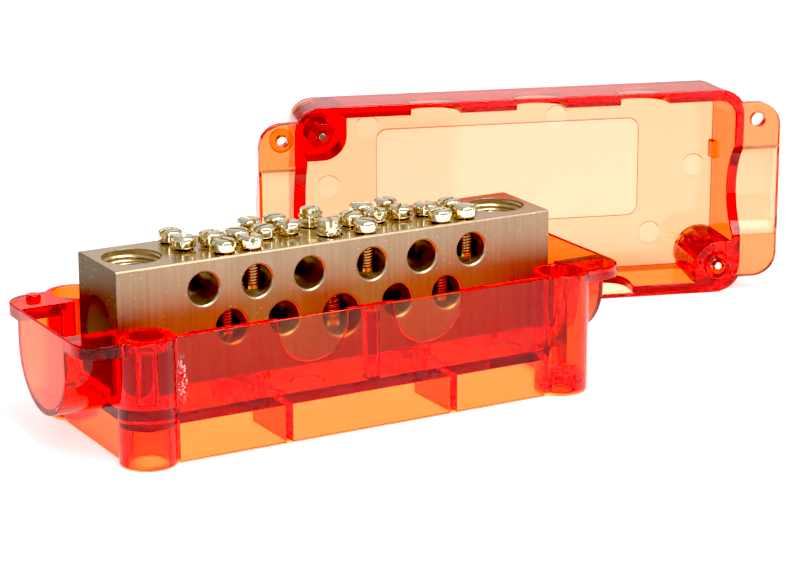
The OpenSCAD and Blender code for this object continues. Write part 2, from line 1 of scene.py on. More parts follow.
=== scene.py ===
# %% [markdown]
# # A bus bar in a clear red tray
# The real object is an electrician's link bar: a milled brass block with slotted screws, held in
# a red polycarbonate tray. Its cover has been taken off and stood on edge behind it. The solids
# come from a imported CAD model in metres, and this script gives them their rounded edges, screw
# threads, materials, light and camera. Each piece keeps its place in its mesh, so every object
# stays at the origin.

# %% Load the solids
import math
import bmesh
import bpy
from mathutils import Matrix, Vector


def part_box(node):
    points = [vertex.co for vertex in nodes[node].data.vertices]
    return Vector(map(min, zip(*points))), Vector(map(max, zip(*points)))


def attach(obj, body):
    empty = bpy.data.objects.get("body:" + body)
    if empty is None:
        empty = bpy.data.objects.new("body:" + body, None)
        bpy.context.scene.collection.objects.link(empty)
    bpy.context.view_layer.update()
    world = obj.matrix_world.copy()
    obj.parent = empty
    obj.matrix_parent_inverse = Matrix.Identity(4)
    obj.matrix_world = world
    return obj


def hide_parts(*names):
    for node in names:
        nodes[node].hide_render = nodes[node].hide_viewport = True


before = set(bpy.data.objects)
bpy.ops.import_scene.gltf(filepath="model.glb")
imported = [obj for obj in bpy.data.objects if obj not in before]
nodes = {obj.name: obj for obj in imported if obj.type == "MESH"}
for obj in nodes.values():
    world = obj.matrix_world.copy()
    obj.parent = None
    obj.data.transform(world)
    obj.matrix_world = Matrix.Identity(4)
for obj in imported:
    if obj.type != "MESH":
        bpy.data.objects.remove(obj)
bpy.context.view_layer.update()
MM = 0.001

# %% [markdown]
# ## Camera
# The picture was taken from the front left, a little above the table, with a long lens that keeps
# the tray's edges almost parallel. A lens of 121 mm on a 36 mm sensor has the same narrow view.
# The three turns are, from right to left, a small roll, the tilt down, and the turn to the side.

# %% Camera at the photograph's angle
view_data = bpy.data.cameras.new("camera")
view_data.sensor_width = 36
view_data.lens = 121.2
view_data.clip_start = 0.01
camera = bpy.data.objects.new("camera", view_data)
bpy.context.scene.collection.objects.link(camera)
turn = Matrix.Rotation(math.radians(-29.406), 4, "Z")
tilt = Matrix.Rotation(math.radians(90 - 15.739), 4, "X")
roll = Matrix.Rotation(math.radians(-0.12), 4, "Z")
camera.rotation_euler = (turn @ tilt @ roll).to_euler()
camera.location = (-294.88 * MM, -562.9 * MM, 209.19 * MM)
bpy.context.scene.camera = camera
print("camera", [round(v, 3) for v in camera.location], "lens", view_data.lens)

# %% [markdown]
# ## Colours and nodes
# Colours are easiest to read off as sRGB hex values, but a shader works with linear light, so one
# function converts them. A second small function adds a shader node, sets its fields, and either
# links or sets each input. A third starts an empty material.

# %% Helpers for materials
def linear(hex_colour):
    parts = [int(hex_colour[i:i + 2], 16) / 255 for i in (1, 3, 5)]
    return [p / 12.92 if p <= 0.04045 else ((p + 0.055) / 1.055) ** 2.4 for p in parts] + [1.0]


def add(tree, kind, inputs=None, **fields):
    node = tree.nodes.new(kind)
    for name, value in fields.items():
        setattr(node, name, value)
    for name, value in (inputs or {}).items():
        if isinstance(value, bpy.types.NodeSocket):
            tree.links.new(value, node.inputs[name])
        else:
            node.inputs[name].default_value = value
    return node


def new_material(name):
    material = bpy.data.materials.new(name)
    material.use_nodes = True
    material.node_tree.nodes.clear()
    return material, material.node_tree


print("brass sample", [round(v, 3) for v in linear("#F8EED4")[:3]])

# %% [markdown]
# ## Red polycarbonate
# The tray and the cover are injection moulded in clear polycarbonate with a red dye. Dyed plastic
# takes its colour from how far light travels in it: a thin wall looks cream to orange, and an edge
# or a stack of walls deep red. A surface colour can't do that, so the surface stays clear and a
# volume absorption node holds the dye. Its density is the absorption per metre. The tray holds
# about twice as much dye as the cover.

# %% Dyed clear plastic
def red_polycarbonate(name, dye, per_metre):
    material, tree = new_material(name)
    spot = add(tree, "ShaderNodeTexCoord").outputs["Object"]
    # Faint flow ripples of a moulded face, about 9 mm apart, that bend the reflections a little
    ripple = add(tree, "ShaderNodeTexNoise",
                 {"Vector": spot, "Scale": 1 / (9 * MM), "Detail": 1.0})
    bump = add(tree, "ShaderNodeBump",
               {"Height": ripple.outputs["Fac"], "Strength": 0.12, "Distance": 0.1 * MM})
    # The mould isn't quite polished, so what lies behind a wall is a little blurred
    surface = add(tree, "ShaderNodeBsdfPrincipled",
                  {"Base Color": linear("#FFFAF6"), "Roughness": 0.09, "IOR": 1.53,
                   "Transmission Weight": 1.0, "Normal": bump.outputs["Normal"]})
    depth = add(tree, "ShaderNodeVolumeAbsorption",
                {"Color": linear(dye), "Density": per_metre})
    add(tree, "ShaderNodeOutputMaterial",
        {"Surface": surface.outputs["BSDF"], "Volume": depth.outputs["Volume"]})
    return material, surface


tray_plastic, tray_surface = red_polycarbonate("red polycarbonate tray", "#FEBF38", 1600.0)
cover_plastic, _ = red_polycarbonate("red polycarbonate cover", "#FEBE50", 760.0)
print("made", tray_plastic.name, "and", cover_plastic.name)

# %% [markdown]
# ## Sprue scar
# Plastic enters the mould through a sprue, and where that is broken off it leaves a rough, white,
# glittery scar. The tray has one, upright, beside its front left post. It is too small for a mesh
# of its own, so a mask in the material roughens the surface there and makes some grains white.

# %% Scar on the tray's front wall
SCAR_MIDDLE = (-49.3 * MM, -25.3 * MM, 20.5 * MM)
SCAR_HALF = (1.6 * MM, 2.2 * MM, 6.5 * MM)
tree = tray_plastic.node_tree
spot = add(tree, "ShaderNodeTexCoord").outputs["Object"]
near = add(tree, "ShaderNodeMapping",
           {"Vector": spot, "Scale": [1 / h for h in SCAR_HALF],
            "Location": [-m / h for m, h in zip(SCAR_MIDDLE, SCAR_HALF)]})
reach = add(tree, "ShaderNodeVectorMath", {0: near.outputs["Vector"]}, operation="LENGTH")
mask = add(tree, "ShaderNodeMapRange",
           {"Value": reach.outputs["Value"], "From Min": 0.6, "From Max": 1.0,
            "To Min": 1.0, "To Max": 0.0})
# Broken plastic in grains of about half a millimetre
grains = add(tree, "ShaderNodeTexVoronoi", {"Vector": spot, "Scale": 1 / (0.6 * MM)})
rough = add(tree, "ShaderNodeBump",
            {"Height": grains.outputs["Distance"], "Strength": mask.outputs["Result"],
             "Distance": 0.4 * MM, "Normal": tray_surface.inputs["Normal"].links[0].from_socket})
tree.links.new(rough.outputs["Normal"], tray_surface.inputs["Normal"])
white = add(tree, "ShaderNodeMapRange",
            {"Value": grains.outputs["Distance"], "From Min": 0.25, "From Max": 0.35,
             "To Min": mask.outputs["Result"], "To Max": 0.0})
clear = add(tree, "ShaderNodeMath", {0: 1.0, 1: white.outputs["Result"]}, operation="SUBTRACT")
tree.links.new(clear.outputs["Value"], tray_surface.inputs["Transmission Weight"])
print("scar is", round(2 * SCAR_HALF[2] / MM, 1), "mm tall")

# %% [markdown]
# ## Milled brass
# The bar is free-cutting brass, milled on its sides and left bare, so it is a little brown, half
# mirror, and streaked across by the cutter. One noise, stretched upright, gives the streaks to
# colour, gloss and bump alike. Its ends are sawn, its top is drawn smooth and its holes are freshly
# drilled, and masks made from the place on the block tell these apart. The masks also paint light
# and
# shade: the ends are painted darker as painted shade, the top lighter as painted light, and the
# insides of the holes lighter as painted light. A metal keeps the default IOR, because its colour
# is its reflection.

# %% Colour of the milled sides and sawn ends
BAR_END, BAR_TOP = 59 * MM, 43.6 * MM


def milled_colour(tree, spot, along, streaks):
    # Handling marks and tarnish in patches of about 12 mm
    patches = add(tree, "ShaderNodeTexNoise",
                  {"Vector": spot, "Scale": 1 / (12 * MM), "Detail": 4.0})
    tint = add(tree, "ShaderNodeMix",
               {"Factor": patches.outputs["Fac"],
                "A": linear("#C6B29A"), "B": linear("#B8A288")}, data_type="RGBA")
    streaked = add(tree, "ShaderNodeMix",
                   {"Factor": streaks, "A": linear("#D8CCC0"), "B": linear("#FFFFFF")},
                   data_type="RGBA")
    colour = add(tree, "ShaderNodeMix",
                 {"Factor": 1.0, "A": tint.outputs["Result"], "B": streaked.outputs["Result"]},
                 data_type="RGBA", blend_type="MULTIPLY")
    # The sawn ends are greyer than the milled sides, and they are also painted darker, as painted
    # shade on the end faces
    at_end = add(tree, "ShaderNodeMapRange",
                 {"Value": along, "From Min": BAR_END - 0.25 * MM, "From Max": BAR_END - 0.05 * MM})
    sawn = add(tree, "ShaderNodeMix",
               {"Factor": at_end.outputs["Result"],
                "A": colour.outputs["Result"], "B": linear("#6C5C48")}, data_type="RGBA")
    # Bright flecks of about a third of a millimetre, left where chips were pressed in
    grit = add(tree, "ShaderNodeTexNoise",
               {"Vector": spot, "Scale": 1 / (0.5 * MM), "Detail": 0.0})
    fleck = add(tree, "ShaderNodeMapRange",
                {"Value": grit.outputs["Fac"], "From Min": 0.76, "From Max": 0.84})
    flecked = add(tree, "ShaderNodeMix",
                  {"Factor": fleck.outputs["Result"],
                   "A": sawn.outputs["Result"], "B": linear("#F6E3C4")}, data_type="RGBA")
    return flecked.outputs["Result"]


print("the bar ends", round(BAR_END / MM, 1), "mm out, its top is", round(BAR_TOP / MM, 1), "mm up")

# %% Masks for the drilled holes and the end tunnels
# The box is a little larger than the block, so the mask ends just under the block's faces
BOX_MIDDLE_Z, BOX_HALF = BAR_TOP - 15 * MM, (61.5 * MM, 11.4 * MM, 15.4 * MM)
# A tunnel runs from here out to the end of the bar, and the tapped hole above it starts here
TUNNEL_START, TUNNEL_TOP = 43 * MM, 33 * MM


def drilled_mask(tree, spot):
    inner = add(tree, "ShaderNodeMapping",
                {"Vector": spot, "Location": (0.0, 0.0, -BOX_MIDDLE_Z / BOX_HALF[2]),
                 "Scale": [1 / h for h in BOX_HALF]})
    apart = add(tree, "ShaderNodeVectorMath", {0: inner.outputs["Vector"]}, operation="ABSOLUTE")
    sides = add(tree, "ShaderNodeSeparateXYZ", {"Vector": apart.outputs["Vector"]})
    across = add(tree, "ShaderNodeMath",
                 {0: sides.outputs["X"], 1: sides.outputs["Y"]}, operation="MAXIMUM")
    out = add(tree, "ShaderNodeMath",
              {0: across.outputs["Value"], 1: sides.outputs["Z"]}, operation="MAXIMUM")
    drilled = add(tree, "ShaderNodeMapRange",
                  {"Value": out.outputs["Value"], "From Min": 0.94, "From Max": 0.96,
                   "To Min": 1.0, "To Max": 0.0})
    return drilled.outputs["Result"]


def tunnel_mask(tree, along, height):
    far = add(tree, "ShaderNodeMapRange",
              {"Value": along, "From Min": TUNNEL_START, "From Max": TUNNEL_START + MM})
    tunnel = add(tree, "ShaderNodeMapRange",
                 {"Value": height, "From Min": TUNNEL_TOP, "From Max": TUNNEL_TOP + MM,
                  "To Min": far.outputs["Result"], "To Max": 0.0})
    return tunnel.outputs["Result"]


print("drilled box is", [round(2 * h / MM, 1) for h in BOX_HALF], "mm")

# %% Milled brass put together
bar_brass, tree = new_material("milled brass")
spot = add(tree, "ShaderNodeTexCoord").outputs["Object"]
axes = add(tree, "ShaderNodeSeparateXYZ", {"Vector": spot})
along = add(tree, "ShaderNodeMath", {0: axes.outputs["X"]}, operation="ABSOLUTE").outputs["Value"]
# Cutter streaks that run upright on the sides, drawn about 0.9 mm wide so that they show
streak_map = add(tree, "ShaderNodeMapping", {"Vector": spot, "Scale": (1.0, 1.0, 0.03)})
streaks = add(tree, "ShaderNodeTexNoise",
              {"Vector": streak_map.outputs["Vector"], "Scale": 1 / (0.9 * MM),
               "Detail": 3.0}).outputs["Fac"]
drilled = drilled_mask(tree, spot)
on_top = add(tree, "ShaderNodeMapRange",
             {"Value": axes.outputs["Z"], "From Min": BAR_TOP - 0.1 * MM,
              "From Max": BAR_TOP - 0.05 * MM}).outputs["Result"]
# The top is painted lighter, as painted light standing in for the brighter reflection on it
painted_top_light = add(tree, "ShaderNodeMix",
            {"Factor": on_top, "A": milled_colour(tree, spot, along, streaks),
             "B": linear("#CDB48E")}, data_type="RGBA")
# The drilled holes and tunnels are lighter: partly fresh metal, partly painted light that lifts
# their dark insides
fresh_and_lit_drilling = add(tree, "ShaderNodeMix",
            {"Factor": drilled, "A": painted_top_light.outputs["Result"], "B": linear("#D2BE9C")},
            data_type="RGBA")
# Satin sides, a glossy top, glossy holes and dull tunnels
gloss = add(tree, "ShaderNodeMapRange", {"Value": streaks, "To Min": 0.36, "To Max": 0.54})
smooth = add(tree, "ShaderNodeMix", {"Factor": on_top, "A": gloss.outputs["Result"], "B": 0.15})
coarse = add(tree, "ShaderNodeMix",
             {"Factor": tunnel_mask(tree, along, axes.outputs["Z"]), "A": 0.26, "B": 0.75})
dull = add(tree, "ShaderNodeMix",
           {"Factor": drilled, "A": smooth.outputs["Result"], "B": coarse.outputs["Result"]})
bump = add(tree, "ShaderNodeBump", {"Height": streaks, "Strength": 0.12, "Distance": 0.02 * MM})
# A film of oil and dust scatters some of the light, so the metal isn't all mirror
surface = add(tree, "ShaderNodeBsdfPrincipled",
              {"Base Color": fresh_and_lit_drilling.outputs["Result"], "Metallic": 0.82,
               "Roughness": dull.outputs["Result"], "Normal": bump.outputs["Normal"]})
add(tree, "ShaderNodeOutputMaterial", {"Surface": surface.outputs["BSDF"]})
print("made", bar_brass.name, "with", len(tree.nodes), "nodes")

# %% [markdown]
# ## Bright screws
# The screws are brass as well, but turned and then tumbled bright, so their heads are pale gold
# mirrors. Below the bar's top their threads are painted browner and darker, as painted shade inside
# the wire holes.
# The cover's screws are zinc plated steel, a cold pale grey that flashes in the red bosses.

# %% Turned brass and plated steel
def bright_metal(name, light, dark, roughness, shade_below=None):
    material, tree = new_material(name)
    spot = add(tree, "ShaderNodeTexCoord").outputs["Object"]
    # Tumbling scuffs about 1.5 mm across
    scuffs = add(tree, "ShaderNodeTexNoise",
                 {"Vector": spot, "Scale": 1 / (1.5 * MM), "Detail": 3.0}).outputs["Fac"]
    colour = add(tree, "ShaderNodeMix",
                 {"Factor": scuffs, "A": linear(light), "B": linear(dark)}, data_type="RGBA")
    # Below the given height the colour is painted browner and darker, as painted shade on threads
    # deep in the wire holes
    if shade_below:
        axes = add(tree, "ShaderNodeSeparateXYZ", {"Vector": spot})
        shank = add(tree, "ShaderNodeMapRange",
                    {"Value": axes.outputs["Z"], "From Min": shade_below - 0.3 * MM,
                     "From Max": shade_below, "To Min": 1.0, "To Max": 0.0})
        colour = add(tree, "ShaderNodeMix",
                     {"Factor": shank.outputs["Result"], "A": colour.outputs["Result"],
                      "B": linear("#B09A74")}, data_type="RGBA")
    gloss = add(tree, "ShaderNodeMapRange",
                {"Value": scuffs, "To Min": roughness * 0.7, "To Max": roughness * 1.3})
    bump = add(tree, "ShaderNodeBump", {"Height": scuffs, "Strength": 0.2, "Distance": 0.03 * MM})
    surface = add(tree, "ShaderNodeBsdfPrincipled",
                  {"Base Color": colour.outputs["Result"], "Metallic": 1.0,
                   "Roughness": gloss.outputs["Result"], "Normal": bump.outputs["Normal"]})
    add(tree, "ShaderNodeOutputMaterial", {"Surface": surface.outputs["BSDF"]})
    return material


screw_brass = bright_metal("turned brass", "#F8EED4", "#EADCB6", 0.12)
terminal_brass = bright_metal("turned brass with painted shade on the thread", "#F8EED4", "#EADCB6", 0.12,
                              shade_below=BAR_TOP)
plated_steel = bright_metal("zinc plated steel", "#F2F2F2", "#D6D6D4", 0.16)
print("made", screw_brass.name, terminal_brass.name, plated_steel.name, sep=", ")

# %% [markdown]
# ## From loose triangles to rounded pieces
# A CAD node arrives as loose triangles with knife edges, and no moulded or milled part has those.
# A copy of it is welded, its flat faces are joined, and every sharp edge gets a small bevel, which
# is what catches the light along the rims. Weighted normals then keep the flat faces flat.

# %% Helpers for the rounded copies
MOULDED, FILED = 0.3 * MM, 0.12 * MM    # widths of a moulded edge and of a filed one


def merged_copy(name):
    bm = bmesh.new()
    bm.from_mesh(nodes[name].data)
    bmesh.ops.remove_doubles(bm, verts=bm.verts, dist=0.002 * MM)
    bmesh.ops.dissolve_limit(bm, angle_limit=math.radians(0.5), verts=bm.verts, edges=bm.edges)
    return bm


def sharp_edges(bm, degrees=32, wanted=None):
    found = []
    for edge in bm.edges:
        if len(edge.link_faces) == 2 and edge.calc_face_angle(0) > math.radians(degrees):
            if wanted is None or wanted((edge.verts[0].co + edge.verts[1].co) / 2):
                found.append(edge)
    return found


def round_edges(bm, edges, width, segments=2):
    bmesh.ops.bevel(bm, geom=edges, offset=width, offset_type="OFFSET", segments=segments,
                    profile=0.5, affect="EDGES", clamp_overlap=False, material=-1)


print("helpers ready for", len(nodes), "copies")

# %% A copy becomes a piece
WIDE_FACE = 25 * MM * MM


def finish_piece(bm, name, body, node, material):
    mesh = bpy.data.meshes.new(name)
    bm.to_mesh(mesh)
    bm.free()
    mesh.shade_smooth()
    mesh.set_sharp_from_angle(angle=math.radians(38))
    # A wide face with many corners is flat, so it isn't smoothed into its neighbours
    for face in mesh.polygons:
        if len(face.vertices) > 4 and face.area > WIDE_FACE:
            face.use_smooth = False
    mesh.materials.append(material)
    piece = bpy.data.objects.new(name, mesh)
    bpy.context.scene.collection.objects.link(piece)
    shading = piece.modifiers.new("flat faces stay flat", "WEIGHTED_NORMAL")
    shading.keep_sharp = True
    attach(piece, body)
    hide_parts(node)
    return piece


print("faces over", round(WIDE_FACE / MM / MM), "square mm stay flat")

# %% [markdown]
# ## Tray and cover
# Both mouldings have a fine radius on every outer edge. Only edges that stick out are rounded: in
# an inner corner the bevel would run into its neighbours and leave faces that cross themselves.

# %% Tray and cover with rounded rims
for node, name, material in (("base", "tray_moulding", tray_plastic),
                             ("cover", "cover_moulding", cover_plastic)):
    bm = merged_copy(node)
    rims = [edge for edge in sharp_edges(bm) if edge.is_convex]
    round_edges(bm, rims, MOULDED)
    piece = finish_piece(bm, name, "tray", node, material)
    print(name, "has", len(rims), "rounded edges and", len(piece.data.polygons), "faces")

# %% [markdown]
# ## Screw threads
# A thread is a ridge wound round a core. The core is the CAD shank made thinner. The ridge is a
# small four-sided loop that the spin operator turns about the axis and lifts a little at each
# step, so that one full turn climbs by one pitch. Spin slows down in a big mesh, so the ridge is
# made in a small one of its own and added to the screw. Where a slot is sawn through the ridge, it
# is wound in separate runs. The crests stay within the CAD shank, so nothing touches the bar.

# %% Spin one run of thread
FOOT, TIP = 0.44, 0.07    # half widths of the ridge at its foot and its tip, in pitches


def spin_ridge(bm, centre, root, crest, pitch, start, lift, count, steps):
    foot, tip = FOOT * pitch, TIP * pitch
    profile = ((root, -foot), (crest, -tip), (crest, tip), (root, foot))
    ridge = bmesh.new()
    corners = [ridge.verts.new((r, 0.0, z)) for r, z in profile]
    loop = [ridge.edges.new((corners[k - 1], corners[k])) for k in range(4)]
    bmesh.ops.spin(ridge, geom=corners + loop, cent=(0, 0, 0), axis=(0, 0, 1),
                   dvec=(0, 0, pitch / steps), angle=math.tau * count / steps, steps=count)
    bmesh.ops.holes_fill(ridge, edges=ridge.edges, sides=4)
    place = Matrix.Translation((centre[0], centre[1], lift)) @ Matrix.Rotation(start, 4, "Z")
    bmesh.ops.transform(ridge, matrix=place, verts=ridge.verts)
    carrier = bpy.data.meshes.new("ridge")
    ridge.to_mesh(carrier)
    ridge.free()
    bm.from_mesh(carrier)
    bpy.data.meshes.remove(carrier)


print("a ridge is", 2 * FOOT, "pitches wide at its foot")

# %% Helpers for threads
def wind_ridge(bm, centre, root, crest, pitch, low, high, steps=24, slot=None):
    foot = FOOT * pitch
    runs = [[]]
    for k in range(round((high - low - 2 * foot) / pitch * steps) + 1):
        angle, lift = math.tau * k / steps, low + foot + pitch * k / steps
        sawn = False
        if slot:
            slot_angle, slot_half, slot_floor = slot
            in_slot = abs(math.sin(angle - slot_angle)) * root < slot_half
            sawn = in_slot and lift + foot > slot_floor
        if sawn:
            runs.append([])
        else:
            runs[-1].append((angle, lift))
    for run in (r for r in runs if len(r) > 1):
        spin_ridge(bm, centre, root, crest, pitch, *run[0], len(run) - 1, steps)


def move_wall(bm, centre, radius, new_radius, low, high):
    moved = 0
    for vert in bm.verts:
        offset = Vector((vert.co.x - centre[0], vert.co.y - centre[1]))
        if low < vert.co.z < high and abs(offset.length - radius) < 0.03 * MM:
            vert.co.x = centre[0] + offset.x * new_radius / radius
            vert.co.y = centre[1] + offset.y * new_radius / radius
            moved += 1
    return moved


def middle_of(node):
    low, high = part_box(node)
    return ((low.x + high.x) / 2, (low.y + high.y) / 2), low.z, high.z


SUNK, CLEAR = 0.05 * MM, 0.01 * MM    # ridge foot inside the core, crest inside the CAD shank
print("thread crests stay", round(CLEAR / MM, 2), "mm inside the CAD shanks")

# %% Brass terminal screws
SHANK, CORE, PITCH, HEAD = 2.2 * MM, 1.75 * MM, 0.72 * MM, 2.9 * MM
for number in range(1, 21):
    node = f"terminal_screw_{number:02d}"
    centre, low, high = middle_of(node)
    seat = high - HEAD
    bm = merged_copy(node)
    move_wall(bm, centre, SHANK, CORE, low - MM, seat + 0.01 * MM)
    round_edges(bm, sharp_edges(bm, 32, lambda p: p.z > seat + 0.5 * MM), FILED)
    wind_ridge(bm, centre, CORE - SUNK, SHANK - CLEAR, PITCH,
               low + 0.15 * MM, seat - 0.2 * MM)
    bmesh.ops.recalc_face_normals(bm, faces=bm.faces)
    finish_piece(bm, f"{node}_threaded", f"{node}_body", node, terminal_brass)
print("threaded 20 terminal screws, pitch", round(PITCH / MM, 2), "mm")

# %% [markdown]
# ## Headless screws
# Two short slotted screws stand over the middle wire hole, backed out so far that their coarse
# threads show. Over each end tunnel sits a wide socket screw in a tapped hole. Both kinds are one
# cylinder in the CAD, so only the outer wall is thinned before the ridge is wound on.

# %% Centre screws
COARSE_PITCH = 1.25 * MM
CENTRE_R, CENTRE_CORE, CENTRE_RIM = 3.05 * MM, 2.5 * MM, 0.15 * MM
SLOT_HALF, SLOT_DEPTH = 0.62 * MM, 1.6 * MM
for node, slot_turn in (("centre_screw_front", 70), ("centre_screw_back", 25)):
    centre, low, high = middle_of(node)
    bm = merged_copy(node)
    move_wall(bm, centre, CENTRE_R, CENTRE_CORE, low - MM, high + MM)
    round_edges(bm, sharp_edges(bm, 60, lambda p: p.z > high - 0.1 * MM), CENTRE_RIM)
    wind_ridge(bm, centre, CENTRE_CORE - SUNK, CENTRE_R - CLEAR, COARSE_PITCH,
               low + 0.1 * MM, high - 0.15 * MM,
               slot=(math.radians(slot_turn), SLOT_HALF, high - SLOT_DEPTH))
    bmesh.ops.recalc_face_normals(bm, faces=bm.faces)
    finish_piece(bm, f"{node}_threaded", f"{node}_body", node, terminal_brass)
print("threaded the centre screws, pitch", round(COARSE_PITCH / MM, 2), "mm")

# %% Socket screws
GRUB_R, GRUB_CORE, GRUB_RIM = 6.75 * MM, 6.15 * MM, 0.25 * MM
WIDE_STEPS = 48    # a wide thread needs more steps in each turn to look round
for node in ("grub_screw_left", "grub_screw_right"):
    centre, low, high = middle_of(node)
    bm = merged_copy(node)
    move_wall(bm, centre, GRUB_R, GRUB_CORE, low - MM, high + MM)
    round_edges(bm, sharp_edges(bm, 40, lambda p: p.z > high - 0.1 * MM), GRUB_RIM)
    wind_ridge(bm, centre, GRUB_CORE - SUNK, GRUB_R - CLEAR, COARSE_PITCH,
               low + 0.1 * MM, high - 0.1 * MM, steps=WIDE_STEPS)
    bmesh.ops.recalc_face_normals(bm, faces=bm.faces)
    finish_piece(bm, f"{node}_threaded", f"{node}_body", node, screw_brass)
print("threaded the socket screws,", round(2 * GRUB_R / MM, 1), "mm across")

# %% [markdown]
# ## Milled bar
# The copy of the bar gets its edges broken, as a fitter does with a file, and a thread in each of
# the two wide holes over the tunnels. Only edges near the outside are rounded, because nobody sees
# where the holes cross inside. The wide holes are opened a little, so that the crests of their
# thread end close to the CAD hole and stay clear of the socket screws.

# %% Bar with broken edges and tapped holes
TAPPED_R, TAPPED_ROOT, TAPPED_CREST = 6.9 * MM, 7.12 * MM, 6.83 * MM
TAPPED_INSET, TAPPED_FLOOR = 9 * MM, 22.2 * MM
low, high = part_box("brass_bar")


def near_outside(p, edge=0.75 * MM):
    return (p.z > high.z - edge or p.z < low.z + edge
            or p.y > high.y - edge or p.y < low.y + edge
            or p.x > high.x - edge or p.x < low.x + edge)


bm = merged_copy("brass_bar")
tapped = [(side * (high.x - TAPPED_INSET), 0.0) for side in (-1, 1)]
opened = sum(move_wall(bm, c, TAPPED_R, TAPPED_ROOT, low.z, high.z + MM) for c in tapped)
broken = sharp_edges(bm, 32, near_outside)
round_edges(bm, broken, FILED)
for centre in tapped:
    wind_ridge(bm, centre, TAPPED_ROOT + 0.03 * MM, TAPPED_CREST, COARSE_PITCH,
               low.z + TAPPED_FLOOR, high.z - 0.35 * MM, steps=WIDE_STEPS)
bmesh.ops.recalc_face_normals(bm, faces=bm.faces)
piece = finish_piece(bm, "milled_bar", "tray", "brass_bar", bar_brass)
print("milled_bar has", len(broken), "broken edges,", opened, "opened points and",
      len(piece.data.polygons), "faces")

# %% [markdown]
# ## Steel screws
# The cover's two screws lie along the stood cover, so their mesh is turned upright, threaded like
# the others, and turned back. Their tips are coned and flash in the spigots. The bar's two fixing
# screws only show their heads from below.

# %% Cover screws
COVER_TURN = math.radians(-17.74)
COVER_SHANK, COVER_CORE, COVER_PITCH = 1.95 * MM, 1.45 * MM, 1.4 * MM
COVER_HEAD, TIP_CONE = 2.85 * MM, 0.55 * MM
lay = Matrix.Rotation(COVER_TURN, 4, "Z") @ Matrix.Rotation(math.radians(-90), 4, "X")
for node in ("cover_screw_left", "cover_screw_right"):
    bm = merged_copy(node)
    bmesh.ops.transform(bm, matrix=lay.inverted(), verts=bm.verts)
    spots = [v.co for v in bm.verts]
    bottom, top = min(p.z for p in spots), max(p.z for p in spots)
    centre = [(min(p[i] for p in spots) + max(p[i] for p in spots)) / 2 for i in (0, 1)]
    move_wall(bm, centre, COVER_SHANK, COVER_CORE, bottom - MM, top - COVER_HEAD)
    round_edges(bm, sharp_edges(bm, 40, lambda p: p.z > top - 2 * MM), FILED)
    round_edges(bm, sharp_edges(bm, 40, lambda p: p.z < bottom + 0.05 * MM), TIP_CONE, 1)
    wind_ridge(bm, centre, COVER_CORE - SUNK, COVER_SHANK - CLEAR, COVER_PITCH,
               bottom + 0.5 * MM, top - COVER_HEAD - 0.35 * MM)
    bmesh.ops.recalc_face_normals(bm, faces=bm.faces)
    bmesh.ops.transform(bm, matrix=lay, verts=bm.verts)
    finish_piece(bm, f"{node}_threaded", f"{node}_body", node, plated_steel)
print("threaded the cover screws, turned by", round(math.degrees(COVER_TURN), 2), "degrees")

# %% Fixing screws
for node in ("fixing_screw_left", "fixing_screw_right"):
    bm = merged_copy(node)
    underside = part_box(node)[0].z
    round_edges(bm, sharp_edges(bm, 40, lambda p: p.z < underside + 2 * MM), FILED)
    finish_piece(bm, f"{node}_rounded", "tray", node, plated_steel)
print("rounded the heads of the fixing screws")

# %% [markdown]
# ## Floor
# The picture is a catalogue shot on a lit white table: the ground is pure white without a shadow,
# and light also comes up through the clear plastic. So the floor glows, and the glow is painted
# light: a little everywhere, brighter in front where it washes out the tray's shadow, and brightest
# in windows under the tray and the cover, where the light through the panes comes from.

# %% Glow of the floor
table, tree = new_material("white table with painted glow")
spot = add(tree, "ShaderNodeTexCoord").outputs["Object"]
# Each window is a turned rectangle of painted glow under a piece: its middle in mm, its turn and
# its half size
windows = (((0, 0), 0.0, (62, 25)), ((91.5, 56.8), COVER_TURN, (62, 9)))
lit = 0.0
for middle, angle, half in windows:
    near = add(tree, "ShaderNodeMapping",
               {"Vector": spot, "Location": (middle[0] * MM, middle[1] * MM, 0.0),
                "Rotation": (0.0, 0.0, angle), "Scale": (half[0] * MM, half[1] * MM, 1.0)},
               vector_type="TEXTURE")
    apart = add(tree, "ShaderNodeVectorMath", {0: near.outputs["Vector"]}, operation="ABSOLUTE")
    sides = add(tree, "ShaderNodeSeparateXYZ", {"Vector": apart.outputs["Vector"]})
    edge = add(tree, "ShaderNodeMath",
               {0: sides.outputs["X"], 1: sides.outputs["Y"]}, operation="MAXIMUM")
    window = add(tree, "ShaderNodeMapRange",
                 {"Value": edge.outputs["Value"], "From Min": 0.9, "From Max": 1.0,
                  "To Min": 1.0, "To Max": 0.0})
    lit = add(tree, "ShaderNodeMath",
              {0: lit, 1: window.outputs["Result"]}, operation="MAXIMUM").outputs["Value"]
print("floor has", len(windows), "lit windows")

# %% Glowing floor
# Beyond the windows the table is dimmer, a little brighter in front, where painted light washes out
# the tray's shadow, and bright far behind
axes = add(tree, "ShaderNodeSeparateXYZ", {"Vector": spot})
front = add(tree, "ShaderNodeMapRange",
            {"Value": axes.outputs["Y"], "From Min": -0.02, "From Max": 0.05,
             "To Min": 0.62, "To Max": 0.5})
back = add(tree, "ShaderNodeMapRange",
           {"Value": axes.outputs["Y"], "From Min": 0.3, "From Max": 0.7,
            "To Min": 0.5, "To Max": 0.9})
outer = add(tree, "ShaderNodeMath",
            {0: front.outputs["Result"], 1: back.outputs["Result"]}, operation="MAXIMUM")
shine = add(tree, "ShaderNodeMix", {"Factor": lit, "A": outer.outputs["Value"], "B": 2.1})
matt = add(tree, "ShaderNodeBsdfPrincipled",
           {"Base Color": linear("#F4F3F1"), "Roughness": 0.9, "Specular IOR Level": 0.1,
            "Emission Color": linear("#FFFFFF"), "Emission Strength": shine.outputs["Result"]})
add(tree, "ShaderNodeOutputMaterial", {"Surface": matt.outputs["BSDF"]})
